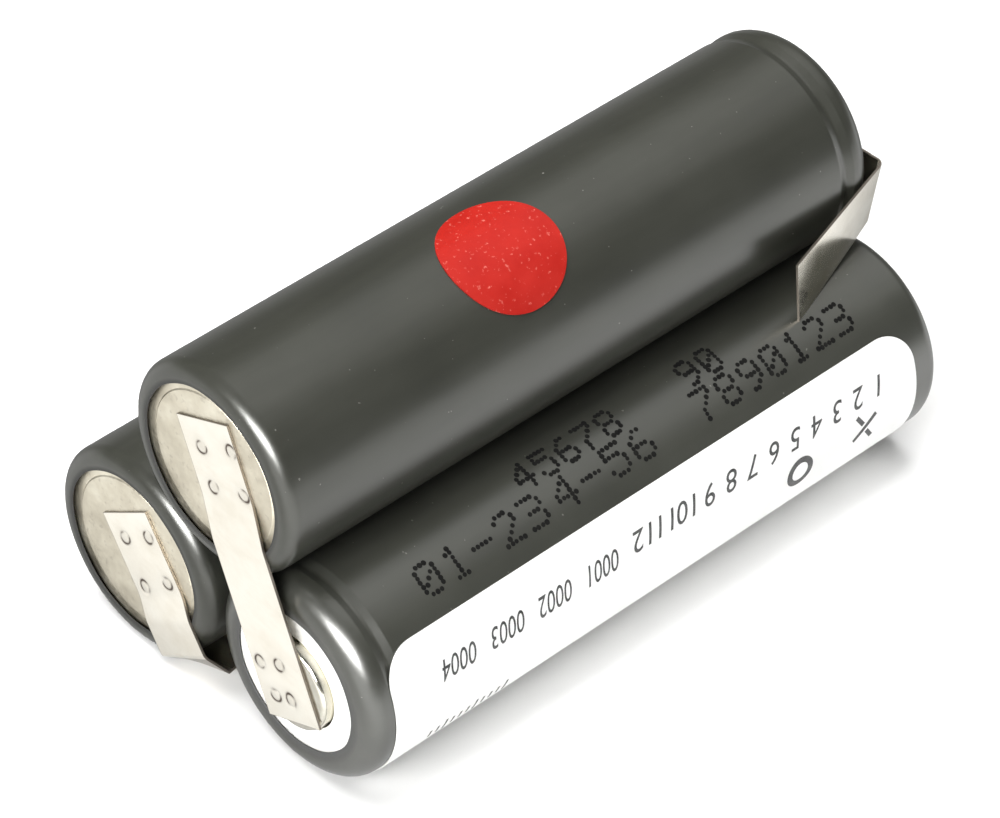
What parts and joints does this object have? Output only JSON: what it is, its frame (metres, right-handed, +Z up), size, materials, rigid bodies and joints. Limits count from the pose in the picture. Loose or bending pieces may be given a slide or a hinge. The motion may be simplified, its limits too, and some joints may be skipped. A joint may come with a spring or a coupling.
{
  "type": "battery pack",
  "caption": "Rechargeable battery pack of cylindrical cells laid in a triangle, welded in series by nickel strips, with two bent solder tabs.",
  "frame": {"origin": "centre of the footprint's bounding box, on the surface the pack rests on", "axes": "+X along the cells, towards the end with the positive solder tab; +Z up; -Y towards the cell that carries the date label"},
  "size_m": [0.0506, 0.0288, 0.0268],
  "materials": {
    "sleeve": "satin dark grey shrink film",
    "can_nickel": "satin nickel plate",
    "washer": "matt white fibre board",
    "cap_nickel": "bright nickel plate",
    "lid_steel": "plain plated steel",
    "valve_rubber": "matt",
    "gasket_nylon": "matt",
    "insulator_card": "matt",
    "collector_nickel": "satin",
    "separator_felt": "matt non-woven",
    "positive_foam": "matt pasted foam",
    "negative_alloy": "matt pressed powder",
    "strip_nickel": "bright rolled nickel",
    "dot_red": "satin paper",
    "label_paper": "satin paper",
    "adhesive": "hot-melt glue"
  },
  "bodies": {
    "pack": {"top_sleeve": "sleeve", "top_can": "can_nickel", "top_insulating_washer": "washer", "top_positive_cap": "cap_nickel", "top_sealing_lid": "lid_steel", "top_sealing_gasket": "gasket_nylon", "top_upper_insulator": "insulator_card", "top_lower_insulator": "insulator_card", "top_collector_tab": "collector_nickel", "top_inner_separator": "separator_felt", "top_positive_electrode": "positive_foam", "top_outer_separator": "separator_felt", "top_negative_electrode": "negative_alloy", "front_sleeve": "sleeve", "front_can": "can_nickel", "front_insulating_washer": "washer", "front_positive_cap": "cap_nickel", "front_sealing_lid": "lid_steel", "front_sealing_gasket": "gasket_nylon", "front_upper_insulator": "insulator_card", "front_lower_insulator": "insulator_card", "front_collector_tab": "collector_nickel", "front_inner_separator": "separator_felt", "front_positive_electrode": "positive_foam", "front_outer_separator": "separator_felt", "front_negative_electrode": "negative_alloy", "rear_sleeve": "sleeve", "rear_can": "can_nickel", "rear_insulating_washer": "washer", "rear_positive_cap": "cap_nickel", "rear_sealing_lid": "lid_steel", "rear_sealing_gasket": "gasket_nylon", "rear_upper_insulator": "insulator_card", "rear_lower_insulator": "insulator_card", "rear_collector_tab": "collector_nickel", "rear_inner_separator": "separator_felt", "rear_positive_electrode": "positive_foam", "rear_outer_separator": "separator_felt", "rear_negative_electrode": "negative_alloy", "near_bridge_strip": "strip_nickel", "far_bridge_strip": "strip_nickel", "negative_tab_pad": "strip_nickel", "positive_tab_pad": "strip_nickel", "red_dot_sticker": "dot_red", "date_label": "label_paper", "adhesive_core": "adhesive"},
    "top_valve": {"top_vent_valve": "valve_rubber"},
    "front_valve": {"front_vent_valve": "valve_rubber"},
    "rear_valve": {"rear_vent_valve": "valve_rubber"},
    "negative_leaf": {"negative_tab_leaf": "strip_nickel"},
    "positive_leaf": {"positive_tab_leaf": "strip_nickel"}
  },
  "joints": [
    {"name": "top_valve_lift", "type": "slide", "parent": "pack", "child": "top_valve", "axis": [1, 0, 0], "range_m": [0, 0.00025], "stiffness_N_per_m": 5000},
    {"name": "front_valve_lift", "type": "slide", "parent": "pack", "child": "front_valve", "axis": [-1, 0, 0], "range_m": [0, 0.00025], "stiffness_N_per_m": 5000},
    {"name": "rear_valve_lift", "type": "slide", "parent": "pack", "child": "rear_valve", "axis": [1, 0, 0], "range_m": [0, 0.00025], "stiffness_N_per_m": 5000},
    {"name": "negative_tab_bend", "type": "hinge", "parent": "pack", "child": "negative_leaf", "pos_m": [-0.0252, 0.00226, 0.00212], "axis": [0, 0.7997, -0.6004], "range_deg": [0, 90]},
    {"name": "positive_tab_bend", "type": "hinge", "parent": "pack", "child": "positive_leaf", "pos_m": [0.0252, -0.00645, 0.01726], "axis": [0, -0.1736, 0.9848], "range_deg": [0, 74.5]}
  ]
}
